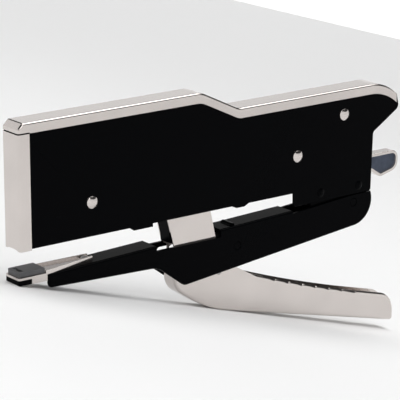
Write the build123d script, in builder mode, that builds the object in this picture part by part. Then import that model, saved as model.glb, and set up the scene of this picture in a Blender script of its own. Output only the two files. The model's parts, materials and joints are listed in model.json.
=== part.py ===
from build123d import *
from math import asin, atan, cos, radians, sin, tan
import os

os.makedirs("parts", exist_ok=True)

# A plier stapler. Every outline is drawn in the body's own frame: x runs rearwards from
# the nose, y runs up from the body's lower edge. The whole stapler stands on the toe of
# its anvil and on the knee of its squeeze lever, so this frame leans by LEAN.

# Body outline
COVER_BOTTOM = -0.3         # the front cover hangs this far below the body's lower edge
BODY_HEIGHT = 43.7          # front part, over the cover
REAR_HEIGHT = 35.7          # rear part, over the cover
CREST_X = 75.8              # where the slope leaves the front part
SLOPE_FOOT_X = 92.3         # where the slope meets the rear part
NOSE_CHAMFER = 2.1
NOSE_ROUND = 0.8
TAIL_BEND_X = 154.4         # start of the curve down to the tail
TAIL_END = (167.6, 30.3)    # end of that curve
TAIL_TIP = (168.7, 25.1)
TAIL_ROOT = (156.2, 17.3)   # inner corner under the tail
REAR_X = 155.4
EAR_DEPTH = 5.15            # the ears reach this far below the body's lower edge
EAR_FRONT_X = 118.0
RIGHT_EAR_FRONT_X = 126.5   # the right plate's ear starts further back

# Sheets and widths, measured across the stapler
COVER_WIDTH = 9.9
COVER_SHEET = 0.4
COVER_FLANGE = 3.65
COVER_BEND = 0.9
FRONT_COVER_TOP = 39.9
FRONT_FLANGE = 4.5
FRONT_ARCH = 0.45
COVER_SEAM = 0.5            # open line between the two covers
PLATE_OUT = 4.5             # outer face of a side plate
PLATE_SHEET = 0.7
HAMMER_OUT = 3.72
HAMMER_SHEET = 0.5
MAGAZINE_OUT = 3.18
MAGAZINE_SHEET = 0.3
ARM_OUT = 4.75
ARM_SHEET = 1.0
LEVER_OUT = 3.6
LEVER_SHEET = 0.8
BRACKET_OUT = 3.65
BRACKET_SHEET = 0.9
FIT = 0.05                  # running clearance on a radius
GAP = 0.1                   # clearance between flat faces

# Rivets and pins, at their places in the side view
FRONT_RIVET = (29.5, 12.0)
MIDDLE_RIVET = (119.9, 13.7)
HAMMER_PIVOT = (141.9, 26.1)
EAR_RIVETS = [(131.0, -1.9), (149.4, -2.1)]
RIVET_SHANK = 1.5
RIVET_HEAD = 2.25
HEAD_RISE = 0.85
EAR_RIVET_SHANK = 1.2
EAR_RIVET_HEAD = 1.8
EAR_HEAD_RISE = 0.6
HINGE = (146.8, -8.2)
HINGE_SHANK = 1.6
LEVER_PIVOT = (92.0, -15.0)
PIVOT_SHANK = 1.6
LINK_PIN = (70.5, -13.6)
LINK_SHANK = 1.3
LINK_DRIFT = 1.9            # room for the link pin to slide in the hammer's lugs
HOOK_RIVETS = [(76.0, -22.5), (84.5, -23.5)]
HOOK_SHANK = 1.1
SLEEVE_RADIUS = 2.2
BUSH_RADIUS = 2.6
PIN_CHAMFER = 0.2

# Magazine
MAGAZINE_FLOOR = 0.3
MAGAZINE_TOP = 6.6
MAGAZINE_START = 1.9
MAGAZINE_END = 151.0
ROD_Z = 3.6
ROD_RADIUS = 1.0
STRIP_START = 1.45
STRIP_LENGTH = 30.0
STAPLE_WIDTH = 5.7
STAPLE_WIRE = 0.5
STAPLE_HEIGHT = 4.5
PUSHER_LENGTH = 14.0
PUSHER_TOP = 6.3
PLUG_START = 142.0
PLUG_LENGTH = 8.5
ROD_START = 20.0
ROD_END = 148.0
PUSHER_COILS = 26
PUSHER_COIL_RADIUS = 1.9
PUSHER_WIRE = 0.25
PULL_START = 151.05
PULL_END = 170.9
PULL_TOP = 7.9
PULL_FLOOR = 1.7
PULL_HALF = 2.2
PULL_CORNER = (162.2, -1.5)  # lowest corner of the loop
PULL_TOP_RADIUS = 3.0
PULL_REAR_RADIUS = 4.0
PULL_RIM = 1.1
PULL_DISH = 0.8
STOP_X = 62.4               # paper stop: its front face at the magazine's floor
STOP_DEPTH = 4.0
STOP_DROP = 9.3
STOP_LEAN = 0.1
STOP_HALF = 2.9
STOP_SHEET = 0.8
FOOT_LENGTH = 9.0

# Hammer and driver
BLADE_X = 0.62
BLADE_SHEET = 0.6
BLADE_WIDTH = 5.5
BLADE_BOTTOM = 6.0
BLADE_TOP = 37.5
NOSE_Z = 32.0               # middle of the hammer's nose tongue
TONGUE_WIDTH = 2.4
GUIDE_TOP = 14.0
GUIDE_DEPTH = 4.2
SPRING_X = 101.0            # the hammer spring stands here
HAMMER_SPRING_LENGTH = 24.0
HAMMER_COILS = 9
HAMMER_COIL_RADIUS = 2.3
HAMMER_WIRE = 0.4
GUIDE_SHEET = 0.5
SEAT_SHEET = 0.8
LUG_LEAN = 0.255            # the lug edges run back by this much for each mm down
LUG_FRONT_X = 61.7
LUG_WIDTH = 18.5

# Arm: its top face rises gently to the rear
ARM_FRONT_X = 11.1
ARM_TOP_AT_NOSE = -10.45
ARM_RISE = 0.0335
ARM_CORNER = 1.9            # radius of the front lower corner
ARM_FRONT_FLOOR = -15.1
WINDOW_START = 56.2
WINDOW_END = 84.5
WINDOW_DROP = 1.8           # the side walls dip this far beside the window
SLIT = (66.7, -13.4)        # slot in the right wall only
SLIT_LENGTH = 8.8
SLIT_HEIGHT = 2.4
BELLY_INSET = 1.8           # how far the arm's front wall is set in behind its edge
ARM_END_RADIUS = 9.3
ARM_EDGE = 0.9
WEB_END = 117.5             # behind this the arm is two cheeks beside the hinge
RIB_X = 91.0
RIB_HALF = 2.7
RIB_RISE = 0.7
RIB_RADIUS = 1.4

# Anvil
HEAD_START = -0.5
HEAD_END = 10.9
HEAD_FLOOR = -10.4
HEAD_SHEET = 0.8
HEAD_HALF = 4.3
HEAD_CORNER = 0.8
SKIRT_START = 4.7
SKIRT_END = 22.0
SKIRT_FLOOR = -12.3
SKIRT_HALF = 3.65           # the skirt slides between the arm's walls
SKIRT_SHEET = 0.8
BLOCK_START = 0.2
BLOCK_END = 10.3
BLOCK_HALF = 3.6
BLOCK_TOP = -7.75
GROOVE_X = 1.0              # the two clinching grooves run across from here
GROOVE_Y = 1.35
GROOVE_LENGTH = 1.4
GROOVE_RADIUS = 1.5
GROOVE_RISE = 1.0
TONGUE_START = 10.4
TONGUE_END = 31.0
TONGUE_END_HALF = 1.9
TONGUE_SHEET = 0.8
TONGUE_RIM = 0.6            # width of the raised edges along the tongue
TONGUE_RIM_RISE = 1.5
SHOE_START = -0.4
SHOE_END = 4.6
SHOE_HALF = 4.4
SHOE_FLOOR = -12.3
SHOE_EDGE = 0.4
ANVIL_RIVET_X = 28.8
ANVIL_RIVET_SHANK = 0.8
ANVIL_RIVET_HEAD = 1.3
ANVIL_RIVET_RISE = 0.6

# Lever
LEVER_NOSE = (64.7, -22.0)
LEVER_BEND = 1.0
LEVER_KNEE_END = (97.0, -41.3)
LEVER_SLOPE = 14.2          # degrees below the body
LEVER_TAIL_X = 169.0
TAIL_CORNER = 1.2
LEVER_BOSS = 4.6
HOOK_HALF = 2.4


def arm_top(x):
    """Height of the arm's top face at x."""
    return ARM_TOP_AT_NOSE + ARM_RISE * x


def lever_floor(x):
    """Height of the straight stretch of the lever's underside at x."""
    return LEVER_KNEE_END[1] - tan(radians(LEVER_SLOPE)) * (x - LEVER_KNEE_END[0])


def lever_underside():
    """The lever's lower edge from its nose round the knee to the straight stretch."""
    knee_x = 80.0
    return FilletPolyline(
        LEVER_NOSE,
        (LEVER_NOSE[0], LEVER_NOSE[1] - 4.5),
        (knee_x, lever_floor(knee_x)),
        (LEVER_TAIL_X - 20, lever_floor(LEVER_TAIL_X - 20)),
        radius=[8.0, 50.0],
        mode=Mode.PRIVATE,
    )


def lowest(points, lean):
    """Lowest height of some points of the body frame once it leans."""
    return min(p.X * sin(lean) + p.Y * cos(lean) for p in points)


def standing_lean():
    """The lean, in radians, at which the anvil's shoe and the lever's knee are level."""
    knee = [lever_underside() @ (i / 200) for i in range(201)]
    toe = [Vector(SHOE_START + SHOE_EDGE, SHOE_FLOOR + SHOE_EDGE)]
    low, high = radians(5), radians(30)
    for _ in range(40):
        lean = (low + high) / 2
        if lowest(toe, lean) - SHOE_EDGE < lowest(knee, lean):
            high = lean
        else:
            low = lean
    return lean


LEAN = standing_lean()
GROUND = lowest([lever_underside() @ (i / 200) for i in range(201)], LEAN)


def stand(x, z):
    """World place of a point of the body frame, before the origin is centred."""
    return Vector(x * cos(LEAN) - z * sin(LEAN), 0, x * sin(LEAN) + z * cos(LEAN))


# The origin is on the table, midway between the nose and the end of the lever.
tail_x = LEVER_TAIL_X - TAIL_CORNER
tail_centre = stand(tail_x, lever_floor(tail_x) + TAIL_CORNER / cos(radians(LEVER_SLOPE)))
nose_z = BODY_HEIGHT - NOSE_CHAMFER - NOSE_ROUND * tan(radians(22.5))
FRONT_X = stand(NOSE_ROUND, nose_z).X - NOSE_ROUND
BACK_X = tail_centre.X + TAIL_CORNER
CENTRE_X = (FRONT_X + BACK_X) / 2
origin = Vector(-CENTRE_X, 0, -GROUND)
rearwards = (cos(LEAN), 0, sin(LEAN))
upwards = (-sin(LEAN), 0, cos(LEAN))
side = Plane(origin=origin, x_dir=rearwards, z_dir=(0, -1, 0))
deck = Plane(origin=origin, x_dir=rearwards, z_dir=upwards)
section = Plane(origin=origin, x_dir=(0, 1, 0), z_dir=rearwards)


def height_of(shape):
    """Height of a shape's middle in the body frame."""
    return side.to_local_coords(shape.center()).Y


def is_underside(edge):
    """Whether an edge runs along the lever's underside, from its knee to its tail."""
    middle = side.to_local_coords(edge @ 0.5)
    return middle.Y < -23 and middle.Y < lever_floor(middle.X) + 8 and middle.X < 168


# ---------------------------------------------------------------- outlines of the casing

with BuildSketch() as body_outline:
    with BuildLine():
        body_top = FilletPolyline(
            (0, 0),
            (0, BODY_HEIGHT - NOSE_CHAMFER),
            (NOSE_CHAMFER, BODY_HEIGHT),
            (CREST_X, BODY_HEIGHT),
            (SLOPE_FOOT_X, REAR_HEIGHT),
            (TAIL_BEND_X, REAR_HEIGHT),
            radius=[NOSE_ROUND, NOSE_ROUND, 9.0, 6.0],
        )
        tail = TangentArc(body_top @ 1, TAIL_END, tangent=(1, 0))
        FilletPolyline(
            tail @ 1,
            TAIL_TIP,
            TAIL_ROOT,
            (REAR_X, -EAR_DEPTH),
            (EAR_FRONT_X, -EAR_DEPTH),
            (EAR_FRONT_X, 0),
            (0, 0),
            radius=[2.3, 1.5, 1.0, 0.8, 0.3],
        )
    make_face()

with BuildSketch() as inside_plates:
    offset(body_outline.sketch, amount=-COVER_SHEET - GAP)

with BuildSketch() as cover_band:
    add(body_outline.sketch)
    add(Pos(0, -COVER_FLANGE) * body_outline.sketch, mode=Mode.SUBTRACT)
    with Locations((TAIL_END[0] - 0.6, 0)):
        Rectangle(10, 2 * REAR_HEIGHT, align=(Align.MIN, Align.CENTER), mode=Mode.SUBTRACT)

with BuildSketch() as under_cover:
    add(cover_band.sketch)
    add(inside_plates.sketch, mode=Mode.SUBTRACT)

with BuildSketch() as plate_outline:
    add(body_outline.sketch)
    Polygon((45.0, 0), (46.8, -1.2), (54.9, -1.2), (54.9, 0), align=None)
    Polygon((89.7, 0), (91.8, -0.95), (95.3, -0.95), (97.4, 0), align=None)
    add(under_cover.sketch, mode=Mode.SUBTRACT)
    with Locations((0, BODY_HEIGHT / 2)):
        Rectangle(2 * (COVER_SHEET + GAP), 2 * BODY_HEIGHT, mode=Mode.SUBTRACT)
    with Locations(FRONT_RIVET, MIDDLE_RIVET, HAMMER_PIVOT):
        Circle(RIVET_SHANK + FIT, mode=Mode.SUBTRACT)
    with Locations(*EAR_RIVETS):
        Circle(EAR_RIVET_SHANK + FIT, mode=Mode.SUBTRACT)

with BuildSketch() as skin_outline:
    with BuildLine():
        skin_top = FilletPolyline(
            (0, COVER_BOTTOM),
            (0, BODY_HEIGHT - NOSE_CHAMFER),
            (NOSE_CHAMFER, BODY_HEIGHT),
            (CREST_X, BODY_HEIGHT),
            (SLOPE_FOOT_X, REAR_HEIGHT),
            (TAIL_BEND_X, REAR_HEIGHT),
            radius=[NOSE_ROUND, NOSE_ROUND, 9.0, 6.0],
        )
        skin_tail = TangentArc(skin_top @ 1, TAIL_END, tangent=(1, 0))
        skin_end = skin_tail @ 1 + (skin_tail % 1) * 6
        Polyline(skin_tail @ 1, skin_end, (skin_end.X, COVER_BOTTOM), (0, COVER_BOTTOM))
    make_face()

with BuildSketch() as inside_skin:
    offset(skin_outline.sketch, amount=-COVER_SHEET)
    with Locations((COVER_SHEET, COVER_BOTTOM)):
        Rectangle(REAR_X, 2, align=(Align.MIN, Align.CENTER))
    with Locations(skin_end):
        Rectangle(2, 60)

# ---------------------------------------------------------------- casing

with BuildPart() as left_side_plate:
    with BuildSketch(side.offset(PLATE_OUT - PLATE_SHEET)):
        add(plate_outline.sketch)
    extrude(amount=PLATE_SHEET)
    chamfer(faces().sort_by(Axis.Y)[0].edges(), 0.15)
left_side_plate.part.label = "left_side_plate"
export_step(left_side_plate.part, "parts/left_side_plate.step")

with BuildPart() as right_side_plate:
    mirror(left_side_plate.part, about=Plane.XZ)
    with BuildSketch(side):
        with Locations((RIGHT_EAR_FRONT_X, 0)):
            Rectangle(
                RIGHT_EAR_FRONT_X - EAR_FRONT_X + 1, 2 * EAR_DEPTH, align=(Align.MAX, Align.MAX)
            )
    extrude(amount=-COVER_WIDTH, mode=Mode.SUBTRACT)
right_side_plate.part.label = "right_side_plate"
export_step(right_side_plate.part, "parts/right_side_plate.step")

with BuildPart() as bent_skin:
    with BuildSketch(side):
        add(skin_outline.sketch)
    extrude(amount=COVER_WIDTH / 2, both=True)
    side_edges = faces().filter_by(Axis.Y).edges()
    fillet([edge for edge in side_edges if height_of(edge) > 18], COVER_BEND)
    with BuildSketch(side):
        add(inside_skin.sketch)
    extrude(amount=COVER_WIDTH / 2 - COVER_SHEET, both=True, mode=Mode.SUBTRACT)

with BuildPart() as top_cover:
    add(bent_skin.part)
    with BuildSketch(side):
        add(cover_band.sketch)
        Rectangle(
            2 * (FRONT_FLANGE + GAP), 2 * (FRONT_COVER_TOP + COVER_SEAM), mode=Mode.SUBTRACT
        )
    extrude(amount=COVER_WIDTH, both=True, mode=Mode.INTERSECT)
top_cover.part.label = "top_cover"
export_step(top_cover.part, "parts/top_cover.step")

with BuildPart() as front_cover:
    add(bent_skin.part)
    with BuildSketch(side):
        with Locations((0, COVER_BOTTOM)):
            Rectangle(
                FRONT_FLANGE, FRONT_COVER_TOP - COVER_BOTTOM, align=(Align.MIN, Align.MIN)
            )
    extrude(amount=COVER_WIDTH, both=True, mode=Mode.INTERSECT)
    with BuildSketch(section):
        with Locations((0, COVER_BOTTOM)):
            Ellipse(COVER_WIDTH / 2 - 4 * COVER_SHEET, FRONT_ARCH)
    extrude(amount=COVER_SHEET, mode=Mode.SUBTRACT)
front_cover.part.label = "front_cover"
export_step(front_cover.part, "parts/front_cover.step")

# ---------------------------------------------------------------- rivets and pins


def rivet_profile(shank, head, rise, half_length):
    """Half of a rivet's section: radius along x, the rivet's axis along y."""
    crown = (head**2 + rise**2) / (2 * rise)
    half_angle = asin(head / crown) / 2
    bulge = (crown * sin(half_angle), half_length + rise - crown * (1 - cos(half_angle)))
    with BuildSketch() as profile:
        with BuildLine():
            ThreePointArc((0, half_length + rise), bulge, (head, half_length))
            Polyline(
                (head, half_length),
                (shank, half_length),
                (shank, -half_length),
                (head, -half_length),
            )
            ThreePointArc((head, -half_length), (bulge[0], -bulge[1]), (0, -half_length - rise))
            Line((0, -half_length - rise), (0, half_length + rise))
        make_face()
    return profile.sketch


body_rivet_profile = rivet_profile(RIVET_SHANK, RIVET_HEAD, HEAD_RISE, PLATE_OUT)
ear_rivet_profile = rivet_profile(EAR_RIVET_SHANK, EAR_RIVET_HEAD, EAR_HEAD_RISE, PLATE_OUT)

with BuildPart() as body_rivets:
    for place in (FRONT_RIVET, MIDDLE_RIVET, HAMMER_PIVOT):
        spot = side.from_local_coords(Vector(*place))
        with BuildSketch(Plane(origin=spot, x_dir=rearwards, z_dir=upwards)):
            add(body_rivet_profile)
        revolve(axis=Axis(spot, (0, 1, 0)))
body_rivets.part.label = "body_rivets"
export_step(body_rivets.part, "parts/body_rivets.step")

with BuildPart() as ear_rivets:
    for place in EAR_RIVETS:
        spot = side.from_local_coords(Vector(*place))
        with BuildSketch(Plane(origin=spot, x_dir=rearwards, z_dir=upwards)):
            add(ear_rivet_profile)
        revolve(axis=Axis(spot, (0, 1, 0)))
ear_rivets.part.label = "ear_rivets"
export_step(ear_rivets.part, "parts/ear_rivets.step")

PLATE_IN = PLATE_OUT - PLATE_SHEET
with BuildPart() as spacer_sleeves:
    with BuildSketch(side):
        with Locations(FRONT_RIVET, MIDDLE_RIVET):
            Circle(SLEEVE_RADIUS)
            Circle(RIVET_SHANK + FIT, mode=Mode.SUBTRACT)
    extrude(amount=PLATE_IN - FIT, both=True)
spacer_sleeves.part.label = "spacer_sleeves"
export_step(spacer_sleeves.part, "parts/spacer_sleeves.step")

with BuildPart() as hammer_bush:
    with BuildSketch(side):
        with Locations(HAMMER_PIVOT):
            Circle(BUSH_RADIUS)
            Circle(RIVET_SHANK + FIT, mode=Mode.SUBTRACT)
    extrude(amount=PLATE_IN - FIT, both=True)
hammer_bush.part.label = "hammer_bush"
export_step(hammer_bush.part, "parts/hammer_bush.step")

with BuildPart() as hinge_pin:
    with BuildSketch(side):
        with Locations(HINGE):
            Circle(HINGE_SHANK)
    extrude(amount=ARM_OUT - FIT, both=True)
    chamfer(faces().filter_by(Axis.Y).edges(), PIN_CHAMFER)
hinge_pin.part.label = "hinge_pin"
export_step(hinge_pin.part, "parts/hinge_pin.step")

with BuildPart() as lever_pivot_pin:
    with BuildSketch(side):
        with Locations(LEVER_PIVOT):
            Circle(PIVOT_SHANK)
    extrude(amount=ARM_OUT - FIT, both=True)
    chamfer(faces().filter_by(Axis.Y).edges(), PIN_CHAMFER)
lever_pivot_pin.part.label = "lever_pivot_pin"
export_step(lever_pivot_pin.part, "parts/lever_pivot_pin.step")

with BuildPart() as link_pin:
    with BuildSketch(side):
        with Locations(LINK_PIN):
            Circle(LINK_SHANK)
    extrude(amount=HAMMER_OUT - FIT, both=True)
    chamfer(faces().filter_by(Axis.Y).edges(), PIN_CHAMFER)
link_pin.part.label = "link_pin"
export_step(link_pin.part, "parts/link_pin.step")

with BuildPart() as hook_rivets:
    with BuildSketch(side):
        with Locations(*HOOK_RIVETS):
            Circle(HOOK_SHANK)
    extrude(amount=LEVER_OUT, both=True)
hook_rivets.part.label = "hook_rivets"
export_step(hook_rivets.part, "parts/hook_rivets.step")

# ---------------------------------------------------------------- magazine

MAGAZINE_IN = MAGAZINE_OUT - MAGAZINE_SHEET
with BuildPart() as magazine_channel:
    with BuildSketch(section.offset(MAGAZINE_START)):
        with Locations((0, MAGAZINE_FLOOR)):
            Rectangle(
                2 * MAGAZINE_OUT,
                MAGAZINE_TOP - MAGAZINE_FLOOR,
                align=(Align.CENTER, Align.MIN),
            )
        with Locations((0, MAGAZINE_FLOOR + MAGAZINE_SHEET)):
            Rectangle(
                2 * MAGAZINE_IN,
                MAGAZINE_TOP,
                align=(Align.CENTER, Align.MIN),
                mode=Mode.SUBTRACT,
            )
    extrude(amount=MAGAZINE_END - MAGAZINE_START)
magazine_channel.part.label = "magazine_channel"
export_step(magazine_channel.part, "parts/magazine_channel.step")

STRIP_FLOOR = MAGAZINE_FLOOR + MAGAZINE_SHEET + GAP
with BuildPart() as staple_strip:
    with BuildSketch(section.offset(STRIP_START)):
        with Locations((0, STRIP_FLOOR)):
            Rectangle(STAPLE_WIDTH, STAPLE_HEIGHT, align=(Align.CENTER, Align.MIN))
            Rectangle(
                STAPLE_WIDTH - 2 * STAPLE_WIRE,
                STAPLE_HEIGHT - STAPLE_WIRE,
                align=(Align.CENTER, Align.MIN),
                mode=Mode.SUBTRACT,
            )
    extrude(amount=STRIP_LENGTH)
staple_strip.part.label = "staple_strip"
export_step(staple_strip.part, "parts/staple_strip.step")

PUSHER_START = STRIP_START + STRIP_LENGTH + GAP
PUSHER_HALF = STAPLE_WIDTH / 2 - GAP
with BuildPart() as staple_pusher:
    with BuildSketch(side):
        Polygon(
            (PUSHER_START, STRIP_FLOOR),
            (PUSHER_START, STRIP_FLOOR + STAPLE_HEIGHT),
            (PUSHER_START + 3, PUSHER_TOP),
            (PUSHER_START + PUSHER_LENGTH, PUSHER_TOP),
            (PUSHER_START + PUSHER_LENGTH, STRIP_FLOOR),
            align=None,
        )
    extrude(amount=PUSHER_HALF, both=True)
    with BuildSketch(section.offset(PUSHER_START)):
        with Locations((0, ROD_Z)):
            Circle(ROD_RADIUS + FIT)
    extrude(amount=PUSHER_LENGTH, mode=Mode.SUBTRACT)
staple_pusher.part.label = "staple_pusher"
export_step(staple_pusher.part, "parts/staple_pusher.step")

with BuildPart() as guide_rod:
    with BuildSketch(section.offset(ROD_START)):
        with Locations((0, ROD_Z)):
            Circle(ROD_RADIUS)
    extrude(amount=ROD_END - ROD_START)
    chamfer(edges().sort_by(Axis.X)[0], PIN_CHAMFER)
guide_rod.part.label = "guide_rod"
export_step(guide_rod.part, "parts/guide_rod.step")

with BuildPart() as rear_plug:
    with BuildSketch(section.offset(PLUG_START)):
        with Locations((0, STRIP_FLOOR)):
            Rectangle(
                2 * PUSHER_HALF, PUSHER_TOP - STRIP_FLOOR, align=(Align.CENTER, Align.MIN)
            )
    extrude(amount=PLUG_LENGTH)
    with BuildSketch(section.offset(PLUG_START)):
        with Locations((0, ROD_Z)):
            Circle(ROD_RADIUS)
    extrude(amount=ROD_END - PLUG_START, mode=Mode.SUBTRACT)
rear_plug.part.label = "rear_plug"
export_step(rear_plug.part, "parts/rear_plug.step")

COIL_START = PUSHER_START + PUSHER_LENGTH + 0.3
COIL_LENGTH = PLUG_START - 0.3 - COIL_START
coil_foot = side.from_local_coords(Vector(COIL_START, ROD_Z))
with BuildPart() as pusher_spring:
    with BuildLine():
        rear_coil = Helix(COIL_LENGTH / PUSHER_COILS, COIL_LENGTH, PUSHER_COIL_RADIUS, center=coil_foot, direction=rearwards)
    with BuildSketch(Plane(origin=rear_coil @ 0, z_dir=rear_coil % 0)):
        Circle(PUSHER_WIRE)
    sweep(is_frenet=True)
pusher_spring.part.label = "pusher_spring"
export_step(pusher_spring.part, "parts/pusher_spring.step")

with BuildSketch() as loop_outline:
    with BuildLine():
        loop_edge = FilletPolyline(
            (PULL_START, PULL_TOP),
            (PULL_END, PULL_TOP),
            (PULL_END, 0.6),
            PULL_CORNER,
            (157.3, PULL_FLOOR),
            (PULL_START, PULL_FLOOR),
            radius=[PULL_TOP_RADIUS, PULL_REAR_RADIUS, 2.4, 1.0],
        )
        Line(loop_edge @ 1, loop_edge @ 0)
    make_face()

with BuildSketch() as loop_dish:
    offset(loop_outline.sketch, amount=-PULL_RIM)
    with Locations((PULL_START + PULL_RIM, 0)):
        Rectangle(4, 30, align=(Align.MAX, Align.CENTER), mode=Mode.SUBTRACT)

with BuildPart() as pull_loop:
    with BuildSketch(side):
        add(loop_outline.sketch)
    extrude(amount=PULL_HALF, both=True)
    fillet(faces().filter_by(Axis.Y).edges(), 0.3)
    with BuildSketch(side.offset(PULL_HALF - PULL_DISH), side.offset(-PULL_HALF)):
        add(loop_dish.sketch)
    extrude(amount=PULL_DISH, mode=Mode.SUBTRACT)
pull_loop.part.label = "pull_loop"
export_step(pull_loop.part, "parts/pull_loop.step")

STOP_TOP = MAGAZINE_FLOOR - GAP / 2
with BuildPart() as paper_stop:
    with BuildSketch(side):
        Polygon(
            (STOP_X, STOP_TOP),
            (STOP_X + STOP_DEPTH, STOP_TOP),
            (STOP_X + STOP_DEPTH + STOP_LEAN * STOP_DROP, -STOP_DROP),
            (STOP_X + STOP_LEAN * STOP_DROP, -STOP_DROP),
            align=None,
        )
    extrude(amount=STOP_HALF, both=True)
    with BuildSketch(side):
        Polygon(
            (STOP_X + STOP_SHEET, STOP_TOP),
            (STOP_X + STOP_SHEET + STOP_DEPTH, STOP_TOP),
            (STOP_X + STOP_SHEET + STOP_DEPTH + STOP_LEAN * STOP_DROP, -STOP_DROP),
            (STOP_X + STOP_SHEET + STOP_LEAN * STOP_DROP, -STOP_DROP),
            align=None,
        )
    extrude(amount=STOP_HALF - STOP_SHEET, both=True, mode=Mode.SUBTRACT)
    with BuildSketch(side):
        with Locations((STOP_X + STOP_SHEET, STOP_TOP)):
            Rectangle(FOOT_LENGTH, STOP_SHEET, align=(Align.MAX, Align.MAX))
    extrude(amount=STOP_HALF, both=True)
paper_stop.part.label = "paper_stop"
export_step(paper_stop.part, "parts/paper_stop.step")

# ---------------------------------------------------------------- hammer and driver

with BuildSketch() as hammer_outline:
    with BuildLine():
        FilletPolyline(
            (3.0, 27.5),
            (3.0, 38.6),
            (8.0, 40.3),
            (66.0, 40.3),
            (94.0, 33.4),
            (HAMMER_PIVOT[0], 32.2),
            (147.8, 30.0),
            (147.8, 22.0),
            (HAMMER_PIVOT[0], 20.3),
            (LUG_FRONT_X + LUG_WIDTH - 20.3 * LUG_LEAN + 0.8, 20.3),
            (LUG_FRONT_X + LUG_WIDTH + 10.8 * LUG_LEAN, -10.8),
            (76.0, -12.3),
            (74.4, -16.4),
            (66.4, -16.4),
            (66.3, -11.3),
            (LUG_FRONT_X + 10.3 * LUG_LEAN, -10.3),
            (LUG_FRONT_X - 20.3 * LUG_LEAN, 20.3),
            (8.0, 21.5),
            close=True,
            radius=0.6,
        )
    make_face()

HAMMER_IN = HAMMER_OUT - HAMMER_SHEET
with BuildPart() as hammer_lever:
    with BuildSketch(side):
        add(hammer_outline.sketch)
    extrude(amount=HAMMER_OUT, both=True)
    with BuildSketch(side):
        add(Pos(0, -HAMMER_SHEET) * hammer_outline.sketch)
        with Locations((72.0, 0)):
            Rectangle(50, 40)
    extrude(amount=HAMMER_IN, both=True, mode=Mode.SUBTRACT)
    with BuildSketch(side):
        with Locations(HAMMER_PIVOT):
            Circle(BUSH_RADIUS + FIT)
        with Locations((LINK_PIN[0] - LINK_DRIFT / 2, LINK_PIN[1])):
            SlotOverall(2 * (LINK_SHANK + 0.2) + LINK_DRIFT, 2 * (LINK_SHANK + 0.2))
    extrude(amount=HAMMER_OUT, both=True, mode=Mode.SUBTRACT)
hammer_lever.part.label = "hammer_lever"
export_step(hammer_lever.part, "parts/hammer_lever.step")

with BuildPart() as hammer_nose:
    with BuildSketch(side):
        with Locations((3.4, NOSE_Z)):
            Rectangle(8.6, 7, align=(Align.MIN, Align.CENTER))
    extrude(amount=HAMMER_IN, both=True)
    with BuildSketch(side):
        with Locations((BLADE_X + GAP, NOSE_Z)):
            Rectangle(4, TONGUE_WIDTH, align=(Align.MIN, Align.CENTER))
    extrude(amount=TONGUE_WIDTH / 2, both=True)
hammer_nose.part.label = "hammer_nose"
export_step(hammer_nose.part, "parts/hammer_nose.step")

with BuildPart() as driver_blade:
    with BuildSketch(section.offset(BLADE_X)):
        with Locations((0, BLADE_BOTTOM)):
            Rectangle(
                BLADE_WIDTH, BLADE_TOP - BLADE_BOTTOM, align=(Align.CENTER, Align.MIN)
            )
        with Locations((0, NOSE_Z)):
            Rectangle(TONGUE_WIDTH + 0.4, TONGUE_WIDTH + 0.8, mode=Mode.SUBTRACT)
    extrude(amount=BLADE_SHEET)
driver_blade.part.label = "driver_blade"
export_step(driver_blade.part, "parts/driver_blade.step")

GUIDE_X = BLADE_X + BLADE_SHEET + GAP
with BuildPart() as blade_guide:
    with BuildSketch(deck.offset(MAGAZINE_TOP + GAP)):
        with Locations((GUIDE_X, 0)):
            Rectangle(GUIDE_DEPTH, 2 * (PLATE_IN - FIT), align=(Align.MIN, Align.CENTER))
        with Locations((GUIDE_X + GUIDE_SHEET, 0)):
            Rectangle(
                GUIDE_DEPTH,
                2 * (PLATE_IN - FIT - GUIDE_SHEET),
                align=(Align.MIN, Align.CENTER),
                mode=Mode.SUBTRACT,
            )
    extrude(amount=GUIDE_TOP - MAGAZINE_TOP - GAP)
blade_guide.part.label = "blade_guide"
export_step(blade_guide.part, "parts/blade_guide.step")

with BuildPart() as spring_seat:
    with BuildSketch(deck.offset(MAGAZINE_TOP)):
        with Locations((SPRING_X, 0)):
            RectangleRounded(12, 6.2, 1.0)
    extrude(amount=SEAT_SHEET)
spring_seat.part.label = "spring_seat"
export_step(spring_seat.part, "parts/spring_seat.step")

spring_foot = side.from_local_coords(Vector(SPRING_X, MAGAZINE_TOP + SEAT_SHEET + HAMMER_WIRE + GAP))
with BuildPart() as hammer_spring:
    with BuildLine():
        tall_coil = Helix(
            HAMMER_SPRING_LENGTH / HAMMER_COILS,
            HAMMER_SPRING_LENGTH,
            HAMMER_COIL_RADIUS,
            center=spring_foot,
            direction=upwards,
        )
    with BuildSketch(Plane(origin=tall_coil @ 0, z_dir=tall_coil % 0)):
        Circle(HAMMER_WIRE)
    sweep(is_frenet=True)
hammer_spring.part.label = "hammer_spring"
export_step(hammer_spring.part, "parts/hammer_spring.step")

# ---------------------------------------------------------------- hinge bracket

BRACKET_IN = BRACKET_OUT - BRACKET_SHEET
with BuildPart() as hinge_bracket:
    with BuildSketch(side):
        with BuildLine():
            FilletPolyline(
                (RIGHT_EAR_FRONT_X, -GAP),
                (154.6, -GAP),
                (153.6, -11.5),
                (149.0, -14.5),
                (143.0, -14.5),
                (RIGHT_EAR_FRONT_X + 0.5, -8.5),
                close=True,
                radius=1.5,
            )
        make_face()
    extrude(amount=BRACKET_OUT, both=True)
    with BuildSketch(side):
        with Locations((HINGE[0], BRACKET_SHEET - 14.5)):
            Rectangle(60, 20, align=(Align.CENTER, Align.MIN))
    extrude(amount=BRACKET_IN, both=True, mode=Mode.SUBTRACT)
    with BuildSketch(side):
        with Locations(*EAR_RIVETS):
            Circle(EAR_RIVET_SHANK + FIT)
        with Locations(HINGE):
            Circle(HINGE_SHANK + FIT)
    extrude(amount=BRACKET_OUT, both=True, mode=Mode.SUBTRACT)
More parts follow.
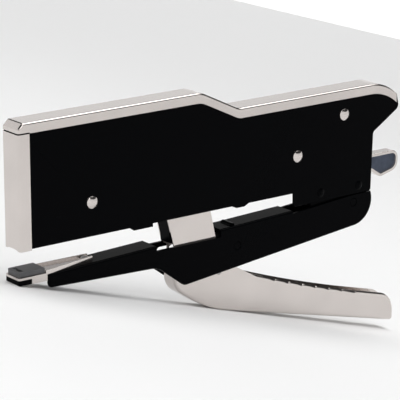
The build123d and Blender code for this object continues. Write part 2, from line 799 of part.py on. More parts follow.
hinge_bracket.part.label = "hinge_bracket"
export_step(hinge_bracket.part, "parts/hinge_bracket.step")

# ---------------------------------------------------------------- arm

with BuildSketch() as arm_outline:
    with BuildLine():
        arm_edge = FilletPolyline(
            (HINGE[0], arm_top(HINGE[0])),
            (ARM_FRONT_X, arm_top(ARM_FRONT_X)),
            (ARM_FRONT_X, ARM_FRONT_FLOOR),
            (56.8, -16.75),
            (68.6, -25.5),
            (HINGE[0] + 0.93, HINGE[1] - 9.25),
            radius=[1.8, ARM_CORNER, 9.0, 2.6],
        )
        Line(arm_edge @ 1, arm_edge @ 0)
    make_face()
    with Locations(HINGE):
        Circle(ARM_END_RADIUS)

with BuildSketch() as arm_walls:
    add(arm_outline.sketch)
    Polygon(
        (WEB_END, arm_top(WEB_END) - ARM_EDGE - GAP),
        (HINGE[0], -EAR_DEPTH - 2 * GAP),
        (165, -EAR_DEPTH - 2 * GAP),
        (165, 6),
        (WEB_END, 6),
        align=None,
        mode=Mode.SUBTRACT,
    )

arm_nose = side.from_local_coords(Vector(0, ARM_TOP_AT_NOSE))
arm_lean = LEAN + atan(ARM_RISE)
arm_deck = Plane(
    origin=arm_nose,
    x_dir=(cos(arm_lean), 0, sin(arm_lean)),
    z_dir=(-sin(arm_lean), 0, cos(arm_lean)),
)

ARM_IN = ARM_OUT - ARM_SHEET
with BuildPart() as lower_arm:
    with BuildSketch(side):
        add(arm_walls.sketch)
    extrude(amount=ARM_OUT, both=True)
    long_edges = faces().filter_by(Axis.Y).edges().filter_by(GeomType.LINE)
    fillet([edge for edge in long_edges if edge.length > 90 and height_of(edge) > -10], ARM_EDGE)
    with BuildSketch(side):
        add(Pos(-BELLY_INSET, -ARM_SHEET) * arm_outline.sketch)
        with Locations((WEB_END, 0)):
            Rectangle(60, 80, align=(Align.MIN, Align.CENTER))
        with Locations((WINDOW_START, arm_top(WINDOW_START))):
            Rectangle(WINDOW_END - WINDOW_START, 4, align=(Align.MIN, Align.CENTER))
    extrude(amount=ARM_IN, both=True, mode=Mode.SUBTRACT)
    with BuildSketch(side):
        with Locations((WINDOW_START, arm_top(WINDOW_START) - WINDOW_DROP)):
            Rectangle(WINDOW_END - WINDOW_START, 8, align=(Align.MIN, Align.MIN))
    extrude(amount=ARM_OUT, both=True, mode=Mode.SUBTRACT)
    with BuildSketch(side):
        with Locations((RIB_X, arm_top(RIB_X) + RIB_RISE - RIB_RADIUS)):
            Circle(RIB_RADIUS)
    extrude(amount=RIB_HALF, both=True)
    with BuildSketch(side):
        with Locations(HINGE):
            Circle(HINGE_SHANK + FIT)
        with Locations(LEVER_PIVOT):
            Circle(PIVOT_SHANK + FIT)
    extrude(amount=ARM_OUT, both=True, mode=Mode.SUBTRACT)
    with BuildSketch(side.offset(-ARM_OUT)):
        with Locations(SLIT):
            SlotOverall(SLIT_LENGTH, SLIT_HEIGHT)
    extrude(amount=ARM_SHEET, mode=Mode.SUBTRACT)
    with BuildSketch(arm_deck):
        with Locations((ANVIL_RIVET_X, 0)):
            Circle(ANVIL_RIVET_SHANK + FIT)
    extrude(amount=-2 * ARM_SHEET, mode=Mode.SUBTRACT)
lower_arm.part.label = "lower_arm"
export_step(lower_arm.part, "parts/lower_arm.step")

# ---------------------------------------------------------------- anvil

with BuildPart() as anvil_plate:
    with BuildSketch(deck.offset(HEAD_FLOOR)):
        with Locations((HEAD_START, 0)):
            Rectangle(HEAD_END - HEAD_START, 2 * HEAD_HALF, align=(Align.MIN, Align.CENTER))
        fillet(vertices().sort_by(Axis.X)[:2], HEAD_CORNER)
    extrude(amount=HEAD_SHEET)
    with BuildSketch(side):
        with Locations((SKIRT_START, SKIRT_FLOOR)):
            Rectangle(
                HEAD_END - SKIRT_START, HEAD_FLOOR - SKIRT_FLOOR, align=(Align.MIN, Align.MIN)
            )
    extrude(amount=HEAD_HALF, both=True)
    with BuildSketch(side):
        with Locations((SKIRT_START, SKIRT_FLOOR)):
            Rectangle(
                SKIRT_END - SKIRT_START,
                arm_top(ARM_FRONT_X) - ARM_SHEET - GAP - SKIRT_FLOOR,
                align=(Align.MIN, Align.MIN),
            )
    extrude(amount=SKIRT_HALF, both=True)
    with BuildSketch(side):
        with Locations((SKIRT_START, SKIRT_FLOOR)):
            Rectangle(SKIRT_END, HEAD_FLOOR - SKIRT_FLOOR, align=(Align.MIN, Align.MIN))
    extrude(amount=SKIRT_HALF - SKIRT_SHEET, both=True, mode=Mode.SUBTRACT)
    with BuildSketch(arm_deck):
        Polygon(
            (TONGUE_START, -HEAD_HALF),
            (TONGUE_END, -TONGUE_END_HALF),
            (TONGUE_END, TONGUE_END_HALF),
            (TONGUE_START, HEAD_HALF),
            align=None,
        )
    extrude(amount=TONGUE_SHEET)
    with BuildSketch(arm_deck):
        for turn in (1, -1):
            Polygon(
                (TONGUE_START, turn * HEAD_HALF),
                (TONGUE_END, turn * TONGUE_END_HALF),
                (TONGUE_END, turn * (TONGUE_END_HALF - TONGUE_RIM)),
                (TONGUE_START, turn * (HEAD_HALF - TONGUE_RIM)),
                align=None,
            )
    extrude(amount=TONGUE_RIM_RISE)
    with BuildSketch(arm_deck):
        with Locations((ANVIL_RIVET_X, 0)):
            Circle(ANVIL_RIVET_SHANK + FIT)
    extrude(amount=TONGUE_SHEET, mode=Mode.SUBTRACT)
anvil_plate.part.label = "anvil_plate"
export_step(anvil_plate.part, "parts/anvil_plate.step")

with BuildPart() as clinch_anvil:
    with BuildSketch(deck.offset(HEAD_FLOOR + HEAD_SHEET)):
        with Locations((BLOCK_START, 0)):
            Rectangle(BLOCK_END - BLOCK_START, 2 * BLOCK_HALF, align=(Align.MIN, Align.CENTER))
    extrude(amount=BLOCK_TOP - HEAD_FLOOR - HEAD_SHEET)
    with BuildSketch(section.offset(GROOVE_X)):
        with Locations((GROOVE_Y, BLOCK_TOP + GROOVE_RISE), (-GROOVE_Y, BLOCK_TOP + GROOVE_RISE)):
            Circle(GROOVE_RADIUS)
    extrude(amount=GROOVE_LENGTH, mode=Mode.SUBTRACT)
clinch_anvil.part.label = "clinch_anvil"
export_step(clinch_anvil.part, "parts/clinch_anvil.step")

with BuildPart() as anvil_shoe:
    with BuildSketch(deck.offset(SHOE_FLOOR)):
        with Locations((SHOE_START, 0)):
            Rectangle(SHOE_END - SHOE_START, 2 * SHOE_HALF, align=(Align.MIN, Align.CENTER))
        fillet(vertices().sort_by(Axis.X)[:2], HEAD_CORNER)
    extrude(amount=HEAD_FLOOR - SHOE_FLOOR)
    fillet(edges().filter_by(Axis.Y).sort_by(Axis.Z)[0], SHOE_EDGE)
anvil_shoe.part.label = "anvil_shoe"
export_step(anvil_shoe.part, "parts/anvil_shoe.step")

with BuildPart() as anvil_rivet:
    with BuildSketch(arm_deck.offset(-ARM_SHEET)):
        with Locations((ANVIL_RIVET_X, 0)):
            Circle(ANVIL_RIVET_SHANK)
    extrude(amount=ARM_SHEET + TONGUE_SHEET)
    with BuildSketch(arm_deck.offset(TONGUE_SHEET)):
        with Locations((ANVIL_RIVET_X, 0)):
            Circle(ANVIL_RIVET_HEAD)
    extrude(amount=ANVIL_RIVET_RISE)
    fillet(faces().sort_by(Axis(arm_nose, arm_deck.z_dir))[-1].edges(), ANVIL_RIVET_RISE * 0.8)
anvil_rivet.part.label = "anvil_rivet"
export_step(anvil_rivet.part, "parts/anvil_rivet.step")

# ---------------------------------------------------------------- squeeze lever

with BuildSketch() as lever_outline:
    with BuildLine():
        knee = lever_underside()
        add(knee)
        tail_edge = FilletPolyline(
            knee @ 1,
            (LEVER_TAIL_X, lever_floor(LEVER_TAIL_X)),
            (LEVER_TAIL_X, -49.0),
            (156.6, -45.6),
            radius=[TAIL_CORNER, 8.0],
        )
        rim = ThreePointArc(tail_edge @ 1, (122.3, -35.4), (98.6, -27.0))
        Polyline(
            rim @ 1,
            (91.5, -22.8),
            (94.5, -18.8),
            LEVER_PIVOT,
            (86.5, -17.5),
            (80.0, -19.0),
            (64.9, -19.5),
            LEVER_NOSE,
        )
    make_face()
    with Locations(LEVER_PIVOT):
        Circle(LEVER_BOSS)

with BuildSketch() as lever_hollow:
    offset(lever_outline.sketch, amount=-LEVER_SHEET)

LEVER_IN = LEVER_OUT - LEVER_SHEET
with BuildPart() as handle_lever:
    with BuildSketch(side):
        add(lever_outline.sketch)
    extrude(amount=LEVER_OUT, both=True)
    rims = faces().filter_by(Axis.Y).edges()
    fillet([edge for edge in rims if is_underside(edge)], LEVER_BEND)
    with BuildSketch(side):
        add(lever_hollow.sketch)
        add(Pos(1.0, 1.6) * lever_hollow.sketch)
        with Locations(LEVER_PIVOT):
            Rectangle(16, 14)
    extrude(amount=LEVER_IN, both=True, mode=Mode.SUBTRACT)
    with BuildSketch(side):
        with Locations(LEVER_PIVOT):
            Circle(PIVOT_SHANK + FIT)
        with Locations(*HOOK_RIVETS):
            Circle(HOOK_SHANK + FIT)
    extrude(amount=LEVER_OUT, both=True, mode=Mode.SUBTRACT)
handle_lever.part.label = "handle_lever"
export_step(handle_lever.part, "parts/handle_lever.step")

with BuildPart() as lever_hook:
    with BuildSketch(side):
        with BuildLine():
            FilletPolyline(
                (67.6, -14.5),
                (69.0, -11.0),
                (72.0, -10.7),
                (92.0, -10.8),
                (96.0, -15.0),
                (92.5, -19.2),
                (86.0, -26.0),
                (76.0, -26.0),
                (69.5, -19.0),
                close=True,
                radius=0.7,
            )
        make_face()
    extrude(amount=HOOK_HALF, both=True)
    with BuildSketch(side):
        with Locations(LINK_PIN):
            Circle(LINK_SHANK + FIT)
        with Locations(LEVER_PIVOT):
            Circle(PIVOT_SHANK + FIT)
        with Locations(*HOOK_RIVETS):
            Circle(HOOK_SHANK + FIT)
    extrude(amount=HOOK_HALF, both=True, mode=Mode.SUBTRACT)
lever_hook.part.label = "lever_hook"
export_step(lever_hook.part, "parts/lever_hook.step")
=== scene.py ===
"""A slim hand plier stapler: black casing and arm, nickel cover, anvil and squeeze lever."""
import json
import math

import bpy
from bpy.props import FloatProperty, FloatVectorProperty, IntProperty, PointerProperty
from mathutils import Matrix, Vector

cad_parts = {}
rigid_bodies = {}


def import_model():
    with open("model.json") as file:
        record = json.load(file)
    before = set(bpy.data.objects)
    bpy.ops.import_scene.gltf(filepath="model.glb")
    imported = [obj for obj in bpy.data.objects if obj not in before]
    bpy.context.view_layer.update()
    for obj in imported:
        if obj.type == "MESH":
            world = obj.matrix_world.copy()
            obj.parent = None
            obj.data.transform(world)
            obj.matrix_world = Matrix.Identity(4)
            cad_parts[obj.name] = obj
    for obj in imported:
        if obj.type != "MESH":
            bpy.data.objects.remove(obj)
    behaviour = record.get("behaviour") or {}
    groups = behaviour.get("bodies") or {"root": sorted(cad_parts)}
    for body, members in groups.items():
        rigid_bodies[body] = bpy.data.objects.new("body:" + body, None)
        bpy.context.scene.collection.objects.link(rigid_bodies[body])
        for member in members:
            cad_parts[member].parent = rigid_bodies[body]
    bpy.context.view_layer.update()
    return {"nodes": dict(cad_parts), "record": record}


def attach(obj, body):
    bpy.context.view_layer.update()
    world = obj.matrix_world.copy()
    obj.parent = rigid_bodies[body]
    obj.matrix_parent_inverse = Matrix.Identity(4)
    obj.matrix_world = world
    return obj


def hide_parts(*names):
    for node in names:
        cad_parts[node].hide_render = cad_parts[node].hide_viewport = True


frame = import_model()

bl_info = {
    "name": "Plier Stapler",
    "version": (1, 0, 0),
    "blender": (4, 5, 0),
    "location": "View3D > Sidebar > Stapler",
    "description": "Builds the looks of a hand plier stapler round its engineering model",
    "category": "Object",
}

MM = 0.001
BODY_OF = {
    node: body
    for body, nodes in frame["record"]["behaviour"]["bodies"].items()
    for node in nodes
}
SLOT_OF = {row["node"]: row["material_slot"] for row in frame["record"]["subparts"]}


def joint(name):
    """One of the record's joints."""
    return next(row for row in frame["record"]["behaviour"]["joints"] if row["name"] == name)


# The casing's own directions: it leans nose down, and its loop slides along its length.
REARWARDS = Vector(joint("pull_slide")["axis"])
UPWARDS = Vector((-REARWARDS.z, 0, REARWARDS.x))
ACROSS = Vector((0, 1, 0))
LEAN = math.atan2(REARWARDS.z, REARWARDS.x)
HINGE_IN_BODY = (146.8, -8.2)
HINGE = Vector(joint("arm_hinge")["pos_m"])
BODY_ORIGIN = HINGE - (REARWARDS * HINGE_IN_BODY[0] + UPWARDS * HINGE_IN_BODY[1]) * MM


def place(x, y, z):
    """World place of a point given in millimetres in the casing's own frame."""
    return BODY_ORIGIN + (REARWARDS * x + ACROSS * y + UPWARDS * z) * MM


# ------------------------------------------------------------------ settings


class StaplerSizes(bpy.types.PropertyGroup):
    """Sizes of the finishing work on the stapler"""

    sheet_edge: FloatProperty(
        name="Sheet edge", description="Rounding of the edges of the pressed sheet",
        default=0.12 * MM, min=0.0, max=1 * MM, precision=5, unit="LENGTH", subtype="DISTANCE",
    )
    cover_edge: FloatProperty(
        name="Cover edge", description="Rounding of the edges of the thin covers",
        default=0.08 * MM, min=0.0, max=1 * MM, precision=5, unit="LENGTH", subtype="DISTANCE",
    )
    block_edge: FloatProperty(
        name="Block edge", description="Rounding of the edges of the solid pieces",
        default=0.2 * MM, min=0.0, max=1 * MM, precision=5, unit="LENGTH", subtype="DISTANCE",
    )
    edge_steps: IntProperty(
        name="Edge steps", description="Steps in each rounded edge", default=2, min=1, max=5,
    )
    lens: FloatProperty(
        name="Lens", description="Focal length of the camera", default=198.0, min=20, max=400,
        unit="CAMERA",
    )
    camera_distance: FloatProperty(
        name="Camera distance", description="From the camera to the middle of the stapler",
        default=780.8 * MM, min=0.1, max=5, unit="LENGTH", subtype="DISTANCE",
    )


class StaplerColours(bpy.types.PropertyGroup):
    """Colours of the stapler's finishes"""

    enamel: FloatVectorProperty(
        name="Enamel", description="Black enamel on the casing and the arm",
        default=(0.0008, 0.0009, 0.0013), size=3, min=0, max=1, subtype="COLOR",
    )
    nickel: FloatVectorProperty(
        name="Nickel", description="Bright nickel plate on the cover, anvil and lever",
        default=(0.63, 0.585, 0.56), size=3, min=0, max=1, subtype="COLOR",
    )
    steel: FloatVectorProperty(
        name="Steel", description="Plain steel of the inner pieces",
        default=(0.40, 0.39, 0.385), size=3, min=0, max=1, subtype="COLOR",
    )
    dark_steel: FloatVectorProperty(
        name="Hard steel", description="Dark hardened steel of the driver and clinch anvil",
        default=(0.11, 0.11, 0.115), size=3, min=0, max=1, subtype="COLOR",
    )
    # The dish colour is a painted dark reflection on the bottom of the pull loop's recessed dish.
    dish: FloatVectorProperty(
        name="Dish", description="Dark bottom of the pull loop's dish",
        default=(0.055, 0.065, 0.09), size=3, min=0, max=1, subtype="COLOR",
    )
    floor: FloatVectorProperty(
        name="Floor", description="The pale floor", default=(0.92, 0.92, 0.92), size=3,
        min=0, max=1, subtype="COLOR",
    )


# ------------------------------------------------------------------ materials


class Socket:
    """An output of a shader node that takes part in sums written as plain expressions."""

    def __init__(self, finish, output):
        self.finish = finish
        self.output = output

    def _sum(self, operation, first, second):
        return self.finish.node(
            "ShaderNodeMath", {"operation": operation}, {0: first, 1: second}
        )

    def __add__(self, other):
        return self._sum("ADD", self, other)

    def __radd__(self, other):
        return self._sum("ADD", other, self)

    def __sub__(self, other):
        return self._sum("SUBTRACT", self, other)

    def __rsub__(self, other):
        return self._sum("SUBTRACT", other, self)

    def __mul__(self, other):
        return self._sum("MULTIPLY", self, other)

    def __rmul__(self, other):
        return self._sum("MULTIPLY", other, self)


class Finish:
    """A material being put together, whose shader is a Principled one."""

    def __init__(self, name, colour, **constants):
        self.material = bpy.data.materials.new(name)
        self.material.use_nodes = True
        self.tree = self.material.node_tree
        self.shader = self.tree.nodes["Principled BSDF"]
        self.shader.inputs["Base Color"].default_value = (*colour, 1)
        for socket, value in constants.items():
            self.shader.inputs[socket.replace("_", " ")].default_value = value
        texture = self.tree.nodes.new("ShaderNodeTexCoord")
        self.where = Socket(self, texture.outputs["Object"])

    def node(self, kind, settings, values, output=0):
        """A node of that kind, with its settings made first and then its sockets' values."""
        made = self.tree.nodes.new(kind)
        for name, value in settings.items():
            if name == "stops":
                self.fill_ramp(made.color_ramp, value)
            else:
                setattr(made, name, value)
        for name, value in values.items():
            if isinstance(value, Socket):
                self.tree.links.new(value.output, made.inputs[name])
            else:
                made.inputs[name].default_value = value
        return Socket(self, made.outputs[output])

    @staticmethod
    def fill_ramp(ramp, stops):
        """Gives a colour ramp its grey stops."""
        while len(ramp.elements) < len(stops):
            ramp.elements.new(0.5)
        for element, (position, grey) in zip(ramp.elements, stops):
            element.position = position
            element.color = (grey, grey, grey, 1)

    def along(self, stretch):
        """Coordinates turned to the casing's length and stretched by three factors."""
        return self.node(
            "ShaderNodeMapping",
            {"vector_type": "TEXTURE"},
            {
                "Vector": self.where,
                "Rotation": (0, -LEAN, 0),
                "Scale": tuple(1 / factor for factor in stretch),
            },
        )

    def noise(self, scale, detail=3.0, roughness=0.5, stretch=(1, 1, 1)):
        """Cloudy grey noise; scale is in cells per metre."""
        return self.node(
            "ShaderNodeTexNoise",
            {},
            {
                "Vector": self.along(stretch),
                "Scale": scale,
                "Detail": detail,
                "Roughness": roughness,
            },
        )

    def specks(self, scale, low, high):
        """Sparse small marks: 1 in the marks and 0 between them."""
        cells = self.noise(scale, 2.0, 0.6)
        return self.node("ShaderNodeValToRGB", {"stops": ((low, 0), (high, 1))}, {"Fac": cells})

    def tint(self, factor, first, second):
        """A colour between two, by a factor."""
        return self.node(
            "ShaderNodeMix",
            {"data_type": "RGBA"},
            {0: factor, 6: (*first, 1), 7: (*second, 1)},
            output=2,
        )

    def drive(self, **values):
        """Links values to the shader's sockets."""
        for name, value in values.items():
            self.tree.links.new(value.output, self.shader.inputs[name.replace("_", " ")])

    def relief(self, height, distance, strength=1.0):
        """Small relief of a height map, distance in metres."""
        bump = self.node(
            "ShaderNodeBump", {}, {"Height": height, "Distance": distance, "Strength": strength}
        )
        self.drive(Normal=bump)


def scaled(colour, factor):
    """A colour made lighter or darker."""
    return tuple(min(1.0, channel * factor) for channel in colour)


def black_enamel(colours):
    """Glossy black baked enamel: faint orange peel, dust and rubbed patches."""
    finish = Finish(
        "Black enamel", colours.enamel, Roughness=0.24, IOR=1.12, Specular_IOR_Level=0.3
    )
    peel = finish.noise(900, 2.0)
    rubbed = finish.noise(55, 4.0, 0.6)
    dust = finish.specks(2600, 0.70, 0.78)
    colour = finish.tint(dust, colours.enamel, scaled(colours.enamel, 5.0))
    finish.drive(Base_Color=colour, Roughness=0.15 + rubbed * 0.18 + dust * 0.2)
    finish.relief(peel, 0.012 * MM, 0.6)
    return finish.material


def nickel_plate(colours):
    """Bright nickel over rolled sheet: fine grain along the length, faint clouding and rubs."""
    finish = Finish("Nickel plate", colours.nickel, Metallic=1.0, Roughness=0.24)
    grain = finish.noise(500, 3.0, 0.6, (0.06, 2.5, 2.5))
    clouds = finish.noise(70, 3.0, 0.55)
    rubs = finish.noise(900, 2.0, 0.5, (0.15, 1, 1))
    finish.drive(
        Base_Color=finish.tint(clouds, scaled(colours.nickel, 0.90), scaled(colours.nickel, 1.1)),
        Roughness=0.10 + grain * 0.07 + clouds * 0.05,
    )
    finish.relief(grain + rubs * 0.4, 0.004 * MM, 0.5)
    return finish.material


def plain_steel(colours):
    """Plain drawn steel with a coarser grain."""
    finish = Finish("Plain steel", colours.steel, Metallic=1.0, Roughness=0.35)
    grain = finish.noise(700, 3.0, 0.6, (0.08, 2, 2))
    stain = finish.noise(120, 3.0, 0.6)
    finish.drive(
        Base_Color=finish.tint(stain, scaled(colours.steel, 0.8), scaled(colours.steel, 1.15)),
        Roughness=0.28 + grain * 0.2,
    )
    finish.relief(grain, 0.008 * MM, 0.6)
    return finish.material


def hard_steel(colours):
    """Dark hardened steel with temper clouds."""
    finish = Finish("Hard steel", colours.dark_steel, Metallic=1.0, Roughness=0.4)
    stain = finish.noise(160, 4.0, 0.6)
    fine = finish.noise(2200, 2.0)
    finish.drive(
        Base_Color=finish.tint(
            stain, scaled(colours.dark_steel, 0.7), scaled(colours.dark_steel, 1.4)
        ),
        Roughness=0.3 + stain * 0.2,
    )
    finish.relief(fine, 0.006 * MM, 0.6)
    return finish.material


def staple_wire(colours):
    """Glued staple wire strip: a fine ridge across the strip for each wire, with painted shade in
    the grooves between them.
    """
    finish = Finish("Staple wire", colours.nickel, Metallic=1.0, Roughness=0.3)
    wire_ridges_and_groove_shade = finish.node(
        "ShaderNodeTexWave",
        {"wave_type": "BANDS", "bands_direction": "X"},
        {"Vector": finish.along((1, 1, 1)), "Scale": 310.0, "Distortion": 0.0},
    )
    # The base colour darkens to 0.35 of the nickel in the grooves between the wires: painted
    # shade. The roughness and the bump follow the same bands.
    finish.drive(
        Base_Color=finish.tint(wire_ridges_and_groove_shade, scaled(colours.nickel, 0.35), colours.nickel),
        Roughness=0.45 - wire_ridges_and_groove_shade * 0.2,
    )
    finish.relief(wire_ridges_and_groove_shade, 0.12 * MM, 0.8)
    return finish.material


def dish_steel(colours):
    """The bottom of the pull loop's dish, coloured dark as a painted dark reflection in the
    recess.
    """
    finish = Finish("Dish steel", colours.dish, Metallic=0.85, Roughness=0.35)
    hammered = finish.noise(420, 3.0, 0.6)
    # The dark base colour is a painted dark reflection; the hammered noise varies it at random.
    finish.drive(
        Base_Color=finish.tint(hammered, scaled(colours.dish, 0.7), scaled(colours.dish, 1.5)),
        Roughness=0.25 + hammered * 0.2,
    )
    finish.relief(hammered, 0.1 * MM, 0.8)
    return finish.material


FINISHES = {
    "black_enamel": black_enamel,
    "nickel_plate": nickel_plate,
    "plain_steel": plain_steel,
    "hard_steel": hard_steel,
    "staple_wire": staple_wire,
    "spring_steel": plain_steel,
    "pusher_steel": plain_steel,
    "pull_steel": nickel_plate,
    "dish_steel": dish_steel,
}
MADE_FINISHES = {}


def finish_for(slot):
    """The material for a slot of the record, made once."""
    if slot not in MADE_FINISHES:
        MADE_FINISHES[slot] = FINISHES[slot](bpy.context.scene.stapler_colours)
    return MADE_FINISHES[slot]


# ------------------------------------------------------------------ pieces

MERGE_DISTANCE = 0.002 * MM
FLAT_ANGLE = math.radians(0.6)      # faces this close to level with each other are joined
SHARP_ANGLE = math.radians(30.0)    # edges sharper than this are rounded
FACING_SIDEWAYS = 0.9
# The dish's bottom faces inside this half width take the painted dark reflection colour.
DISH_PAINTED_REFLECTION_HALF = 1.6 * MM                # the dish's bottom lies nearer to the middle than this


def select_only(piece):
    """Selects one object and makes it the active one."""
    bpy.ops.object.select_all(action="DESELECT")
    piece.select_set(True)
    bpy.context.view_layer.objects.active = piece


def settle(piece, node):
    """Gives a finished piece its material and its body, and hides the CAD node that it stands
    for.
    """
    if not piece.data.materials:
        piece.data.materials.append(finish_for(SLOT_OF[node]))
    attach(piece, BODY_OF[node])
    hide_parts(node)


def dressed(node, edge):
    """A copy of a CAD node with merged faces, rounded edges and smooth curves."""
    source = frame["nodes"][node]
    select_only(source)
    bpy.ops.object.duplicate()
    piece = bpy.context.object
    piece.name = node + "_finished"
    piece.data.name = piece.name
    bpy.ops.object.parent_clear(type="CLEAR_KEEP_TRANSFORM")
    piece.data.materials.clear()
    bpy.ops.object.mode_set(mode="EDIT")
    bpy.ops.mesh.select_all(action="SELECT")
    bpy.ops.mesh.remove_doubles(threshold=MERGE_DISTANCE)
    bpy.ops.mesh.dissolve_limited(angle_limit=FLAT_ANGLE)
    bpy.ops.mesh.select_all(action="DESELECT")
    bpy.ops.object.mode_set(mode="OBJECT")
    if edge > 0:
        rounding = piece.modifiers.new("Edges", "BEVEL")
        rounding.width = edge
        rounding.segments = bpy.context.scene.stapler_sizes.edge_steps
        rounding.limit_method = "ANGLE"
        rounding.angle_limit = SHARP_ANGLE
        rounding.use_clamp_overlap = True
        bpy.ops.object.modifier_apply(modifier=rounding.name)
    bpy.ops.object.shade_smooth_by_angle(angle=SHARP_ANGLE)
    flatten = piece.modifiers.new("Flat faces", "WEIGHTED_NORMAL")
    flatten.keep_sharp = True
    flatten.weight = 100
    bpy.ops.object.modifier_apply(modifier=flatten.name)
    return piece


def dress_all(nodes, edge):
    """Dresses several CAD nodes alike."""
    for node in nodes:
        settle(dressed(node, edge), node)


class STAPLER_OT_side_plates(bpy.types.Operator):
    """Finish the two black side plates of the casing"""

    bl_idname = "stapler.side_plates"
    bl_label = "Side plates"

    def execute(self, context):
        dress_all(("left_side_plate", "right_side_plate"), context.scene.stapler_sizes.sheet_edge)
        return {"FINISHED"}


class STAPLER_OT_covers(bpy.types.Operator):
    """Finish the nickel top cover and front cover"""

    bl_idname = "stapler.covers"
    bl_label = "Covers"

    def execute(self, context):
        dress_all(("top_cover", "front_cover"), context.scene.stapler_sizes.cover_edge)
        return {"FINISHED"}


class STAPLER_OT_rivets(bpy.types.Operator):
    """Finish the rivets, pins, sleeves and bush"""

    bl_idname = "stapler.rivets"
    bl_label = "Rivets and pins"

    def execute(self, context):
        dress_all(
            (
                "body_rivets", "ear_rivets", "hook_rivets", "anvil_rivet", "hinge_pin",
                "lever_pivot_pin", "link_pin", "spacer_sleeves", "hammer_bush",
            ),
            context.scene.stapler_sizes.cover_edge,
        )
        return {"FINISHED"}


class STAPLER_OT_magazine(bpy.types.Operator):
    """Finish the magazine, its staples, pusher, rod, plug and springs"""

    bl_idname = "stapler.magazine"
    bl_label = "Magazine"

    def execute(self, context):
        sizes = context.scene.stapler_sizes
        dress_all(("magazine_channel", "staple_strip"), sizes.cover_edge)
        dress_all(("staple_pusher", "guide_rod", "rear_plug", "spring_seat"), sizes.block_edge)
        dress_all(("pusher_spring", "hammer_spring"), 0.0)
        return {"FINISHED"}


class STAPLER_OT_hammer(bpy.types.Operator):
    """Finish the hammer lever, its nose, the driver blade and the blade's guide"""

    bl_idname = "stapler.hammer"
    bl_label = "Hammer and driver"

    def execute(self, context):
        sizes = context.scene.stapler_sizes
        dress_all(("hammer_lever", "blade_guide", "driver_blade"), sizes.cover_edge)
        dress_all(("hammer_nose",), sizes.block_edge)
        return {"FINISHED"}


class STAPLER_OT_arm(bpy.types.Operator):
    """Finish the black anvil arm, the hinge bracket and the paper stop"""

    bl_idname = "stapler.arm"
    bl_label = "Arm, bracket and paper stop"

    def execute(self, context):
        dress_all(
            ("lower_arm", "hinge_bracket", "paper_stop"), context.scene.stapler_sizes.sheet_edge
        )
        return {"FINISHED"}


class STAPLER_OT_anvil(bpy.types.Operator):
    """Finish the anvil plate, its clinch block and its shoe"""

    bl_idname = "stapler.anvil"
    bl_label = "Anvil"

    def execute(self, context):
        sizes = context.scene.stapler_sizes
        dress_all(("anvil_plate",), sizes.sheet_edge)
        dress_all(("clinch_anvil", "anvil_shoe"), sizes.block_edge)
        return {"FINISHED"}


class STAPLER_OT_lever(bpy.types.Operator):
    """Finish the squeeze lever and the hook inside it"""

    bl_idname = "stapler.lever"
    bl_label = "Squeeze lever"

    def execute(self, context):
        sizes = context.scene.stapler_sizes
        dress_all(("handle_lever",), sizes.sheet_edge)
        dress_all(("lever_hook",), sizes.block_edge)
        return {"FINISHED"}


class STAPLER_OT_pull_loop(bpy.types.Operator):
    """Finish the pull loop, with its dish's bottom coloured dark as a painted dark reflection"""

    bl_idname = "stapler.pull_loop"
    bl_label = "Pull loop"

    def execute(self, context):
        piece = dressed("pull_loop", context.scene.stapler_sizes.block_edge)
        piece.data.materials.append(finish_for("pull_steel"))
        piece.data.materials.append(finish_for("dish_steel"))
        for face in piece.data.polygons:
            # Sideways-facing faces near the middle, the dish's bottom, get the painted dark
            # reflection.
            if abs(face.normal.y) > FACING_SIDEWAYS and abs(face.center.y) < DISH_PAINTED_REFLECTION_HALF:
                face.material_index = 1
        settle(piece, "pull_loop")
        return {"FINISHED"}


# ------------------------------------------------------------------ stage

# Brightness of the surroundings against the height one looks at, from level to overhead.
SKY = (
    (0.0, 1.2), (0.07, 1.2), (0.12, 0.85), (0.45, 0.95), (0.48, 0.04), (0.80, 0.04), (0.85, 2.0)
)
FLOOR_SIZE = 60.0                   # metres
FLOOR_DROP = 0.02 * MM              # keeps the floor just below the stapler's lowest point
LIT_POINT = (0, 0, 0.04)
KEY_LIGHT_PLACE = (-0.7, -0.9, 0.9)
KEY_LIGHT_SIZE = 0.6
TOP_LIGHT_PLACE = (0.1, 0.1, 1.2)
TOP_LIGHT_SIZE = 0.8
LIGHT_POWER = 2.5                   # watts
CAMERA_TURN = math.radians(37.138)  # round from the stapler's side, towards its nose
CAMERA_RISE = math.radians(15.960)  # above the casing's own length
CAMERA_TARGET = (78.65, 0, 3.35)    # millimetres in the casing's own frame
SENSOR_WIDTH = 36.0


def soft_light(name, where, towards, size, power):
    """A square soft light."""
    data = bpy.data.lights.new(name, "AREA")
    data.shape = "SQUARE"
    data.size = size
    data.energy = power
    light = bpy.data.objects.new(name, data)
    bpy.context.collection.objects.link(light)
    light.location = where
    light.rotation_euler = (Vector(towards) - Vector(where)).to_track_quat("-Z", "Y").to_euler()
    return light


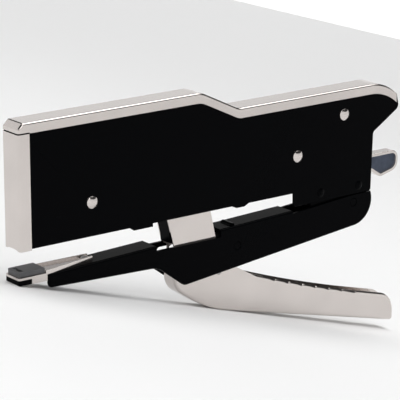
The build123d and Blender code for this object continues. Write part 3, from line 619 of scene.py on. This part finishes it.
class STAPLER_OT_stage(bpy.types.Operator):
    """Add the pale floor, the soft lights and the camera"""

    bl_idname = "stapler.stage"
    bl_label = "Floor, lights and camera"

    def execute(self, context):
        scene = context.scene
        bpy.ops.object.select_all(action="DESELECT")
        bpy.ops.mesh.primitive_plane_add(size=FLOOR_SIZE, location=(0, 0, -FLOOR_DROP))
        floor = context.object
        floor.name = "floor"
        finish = Finish("Pale floor", scene.stapler_colours.floor, Roughness=0.7)
        finish.drive(Roughness=0.6 + finish.noise(30) * 0.2)
        floor.data.materials.append(finish.material)

        world = bpy.data.worlds.new("Studio")
        world.use_nodes = True
        nodes, links = world.node_tree.nodes, world.node_tree.links
        direction = nodes.new("ShaderNodeTexCoord")
        height = nodes.new("ShaderNodeSeparateXYZ")
        shade = nodes.new("ShaderNodeValToRGB")
        links.new(direction.outputs["Generated"], height.inputs[0])
        links.new(height.outputs["Z"], shade.inputs["Fac"])
        links.new(shade.outputs["Color"], nodes["Background"].inputs["Color"])
        Finish.fill_ramp(shade.color_ramp, SKY)
        nodes["Background"].inputs["Strength"].default_value = 1.0
        scene.world = world
        scene.view_settings.view_transform = "Standard"
        soft_light("key light", KEY_LIGHT_PLACE, LIT_POINT, KEY_LIGHT_SIZE, LIGHT_POWER)
        soft_light("top light", TOP_LIGHT_PLACE, LIT_POINT, TOP_LIGHT_SIZE, LIGHT_POWER)

        back = Vector((
            -math.sin(CAMERA_TURN) * math.cos(CAMERA_RISE),
            -math.cos(CAMERA_TURN) * math.cos(CAMERA_RISE),
            math.sin(CAMERA_RISE),
        ))
        right = Vector((math.cos(CAMERA_TURN), -math.sin(CAMERA_TURN), 0))
        up = back.cross(right)
        to_world = Matrix((REARWARDS, ACROSS, UPWARDS)).transposed()
        target = place(*CAMERA_TARGET)
        axes = Matrix((to_world @ right, to_world @ up, to_world @ back)).transposed()
        data = bpy.data.cameras.new("camera")
        data.lens = scene.stapler_sizes.lens
        data.sensor_width = SENSOR_WIDTH
        data.clip_start, data.clip_end = 0.01, 50
        camera = bpy.data.objects.new("camera", data)
        context.collection.objects.link(camera)
        camera.matrix_world = Matrix.Translation(
            target + to_world @ back * scene.stapler_sizes.camera_distance
        ) @ axes.to_4x4()
        scene.camera = camera
        return {"FINISHED"}


BUILD_STEPS = (
    STAPLER_OT_side_plates,
    STAPLER_OT_covers,
    STAPLER_OT_rivets,
    STAPLER_OT_magazine,
    STAPLER_OT_hammer,
    STAPLER_OT_arm,
    STAPLER_OT_anvil,
    STAPLER_OT_lever,
    STAPLER_OT_pull_loop,
    STAPLER_OT_stage,
)


class STAPLER_PT_panel(bpy.types.Panel):
    """The stapler's building steps"""

    bl_idname = "STAPLER_PT_panel"
    bl_label = "Stapler"
    bl_space_type = "VIEW_3D"
    bl_region_type = "UI"
    bl_category = "Stapler"

    def draw(self, context):
        for group in (context.scene.stapler_sizes, context.scene.stapler_colours):
            for name in group.__annotations__:
                self.layout.prop(group, name)
        for step in BUILD_STEPS:
            self.layout.operator(step.bl_idname)


CLASSES = (StaplerSizes, StaplerColours, *BUILD_STEPS, STAPLER_PT_panel)


def register():
    """Register the settings, the operators and the panel."""
    for entry in CLASSES:
        bpy.utils.register_class(entry)
    bpy.types.Scene.stapler_sizes = PointerProperty(type=StaplerSizes)
    bpy.types.Scene.stapler_colours = PointerProperty(type=StaplerColours)


def unregister():
    """Take the settings, the operators and the panel away again."""
    del bpy.types.Scene.stapler_colours
    del bpy.types.Scene.stapler_sizes
    for entry in reversed(CLASSES):
        bpy.utils.unregister_class(entry)


def main():
    """Build every piece and the stage."""
    register()
    for step in BUILD_STEPS:
        group, name = step.bl_idname.split(".")
        getattr(getattr(bpy.ops, group), name)()


if __name__ == "__main__":
    main()
